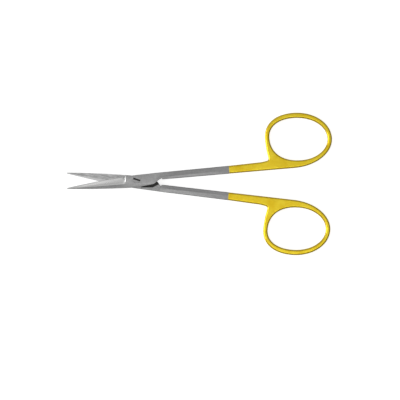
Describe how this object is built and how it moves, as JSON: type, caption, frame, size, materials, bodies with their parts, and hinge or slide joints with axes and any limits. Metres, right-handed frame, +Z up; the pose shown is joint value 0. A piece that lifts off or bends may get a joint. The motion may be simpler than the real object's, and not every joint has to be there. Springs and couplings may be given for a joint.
{
  "type": "surgical scissors",
  "caption": "Fine straight scissors with two crossing pointed blades on a slotted joint screw, slim shanks and plated oval finger rings.",
  "frame": {"origin": "on the joint screw's axis, at the flat underside of the joint on which the pair lies", "axes": "+X from the joint to the finger rings along the line on which the halves close, +Y to the upper half's ring, +Z up along the joint screw"},
  "size_m": [0.1152, 0.062, 0.0032],
  "materials": {
    "steel": "satin ground stainless steel",
    "carbide": "finely ground sintered carbide",
    "gold_plating": "bright yellow gold plating",
    "screw_steel": "turned stainless steel"
  },
  "bodies": {
    "lower_half": {"bottom_blade_and_shank": "steel", "bottom_cutting_insert": "carbide", "bottom_ring_handle": "gold_plating", "joint_screw": "screw_steel"},
    "upper_half": {"top_blade_and_shank": "steel", "top_cutting_insert": "carbide", "top_ring_handle": "gold_plating"}
  },
  "joints": [
    {"name": "blade_pivot", "type": "hinge", "parent": "lower_half", "child": "upper_half", "pos_m": [0, 0, 0], "axis": [0, 0, 1], "range_deg": [-11.5, 48.5]}
  ]
}
